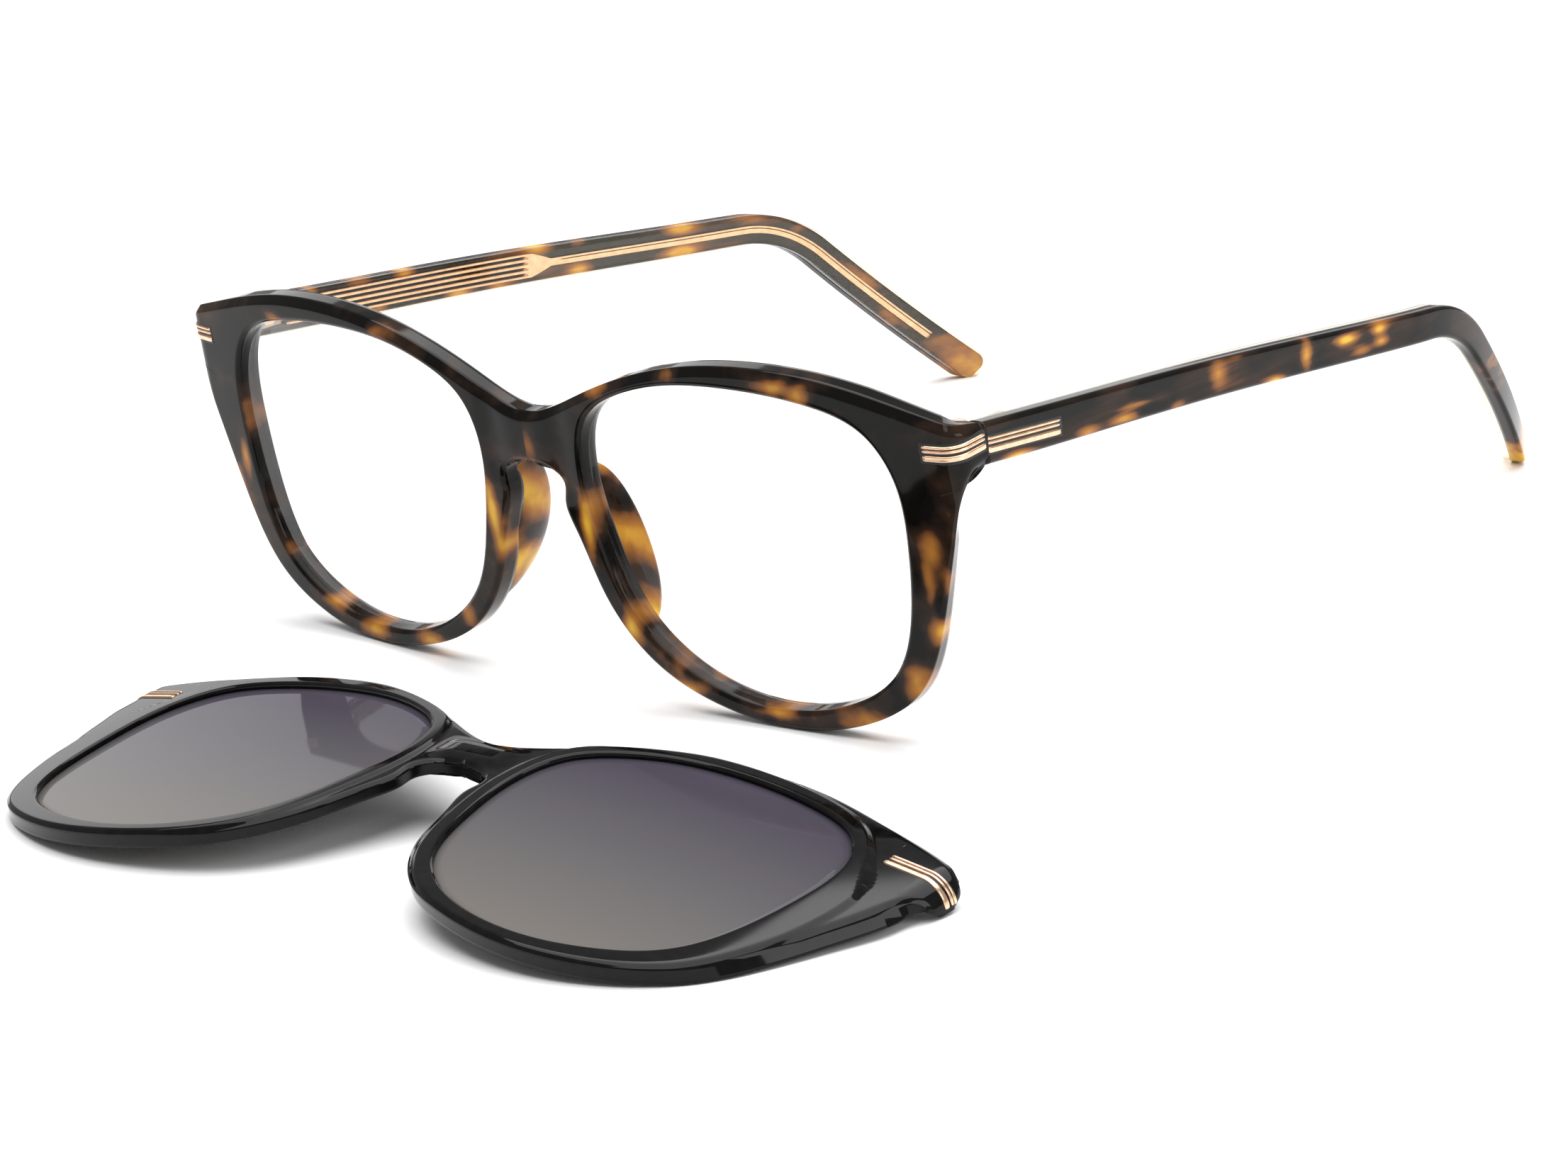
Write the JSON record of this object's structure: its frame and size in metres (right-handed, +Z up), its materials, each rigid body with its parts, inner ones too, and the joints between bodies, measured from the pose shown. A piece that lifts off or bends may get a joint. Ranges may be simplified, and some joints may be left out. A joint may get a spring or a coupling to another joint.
{
  "type": "spectacle frame with clip-on sun lenses",
  "caption": "Full-rim spectacles standing open on their temple tips, with a matching magnetic clip-on sun front lying face up in front of them.",
  "frame": {"origin": "on the table, under the middle of the whole arrangement's footprint", "axes": "+X to the wearer's left, +Y back towards the ears, +Z up from the table"},
  "size_m": [0.1769, 0.2246, 0.0504],
  "materials": {
    "havana": "polished tortoiseshell acetate",
    "gloss_black": "polished black injected plastic",
    "clear_lens": "clear coated lens",
    "sun_lens": "grey gradient polarised lens",
    "clear_acetate": "clear acetate with a warm tint",
    "rose_gold": "satin rose gold plating",
    "hinge_metal": "nickel silver",
    "magnet": "nickel-plated magnet"
  },
  "bodies": {
    "front": {"front": "havana", "lens_left": "clear_lens", "nose_pad_left": "havana", "front_trim_left": "rose_gold", "front_magnet_left": "magnet", "hinge_front_leaf_left": "hinge_metal", "hinge_screw_left": "hinge_metal", "lens_right": "clear_lens", "nose_pad_right": "havana", "front_trim_right": "rose_gold", "front_magnet_right": "magnet", "hinge_front_leaf_right": "hinge_metal", "hinge_screw_right": "hinge_metal"},
    "temple_left": {"temple_outer_left": "havana", "temple_inner_left": "clear_acetate", "temple_core_left": "rose_gold", "temple_trim_left": "rose_gold", "hinge_temple_leaf_left": "hinge_metal"},
    "temple_right": {"temple_outer_right": "havana", "temple_inner_right": "clear_acetate", "temple_core_right": "rose_gold", "temple_trim_right": "rose_gold", "hinge_temple_leaf_right": "hinge_metal"},
    "clip_on": {"clip_frame": "gloss_black", "clip_lens_left": "sun_lens", "clip_trim_left": "rose_gold", "clip_magnet_left": "magnet", "clip_lens_right": "sun_lens", "clip_trim_right": "rose_gold", "clip_magnet_right": "magnet"}
  },
  "joints": [
    {"name": "temple_left_fold", "type": "hinge", "parent": "front", "child": "temple_left", "pos_m": [0.05207, -0.02351, 0.04142], "axis": [0, 0, 1], "range_deg": [0, 83]},
    {"name": "temple_right_fold", "type": "hinge", "parent": "front", "child": "temple_right", "pos_m": [-0.08337, -0.02351, 0.04142], "axis": [0, 0, -1], "range_deg": [0, 72]},
    {"name": "clip_lift", "type": "slide", "parent": "front", "child": "clip_on", "axis": [0, 0, 1], "range_m": [0, 0.06]}
  ]
}
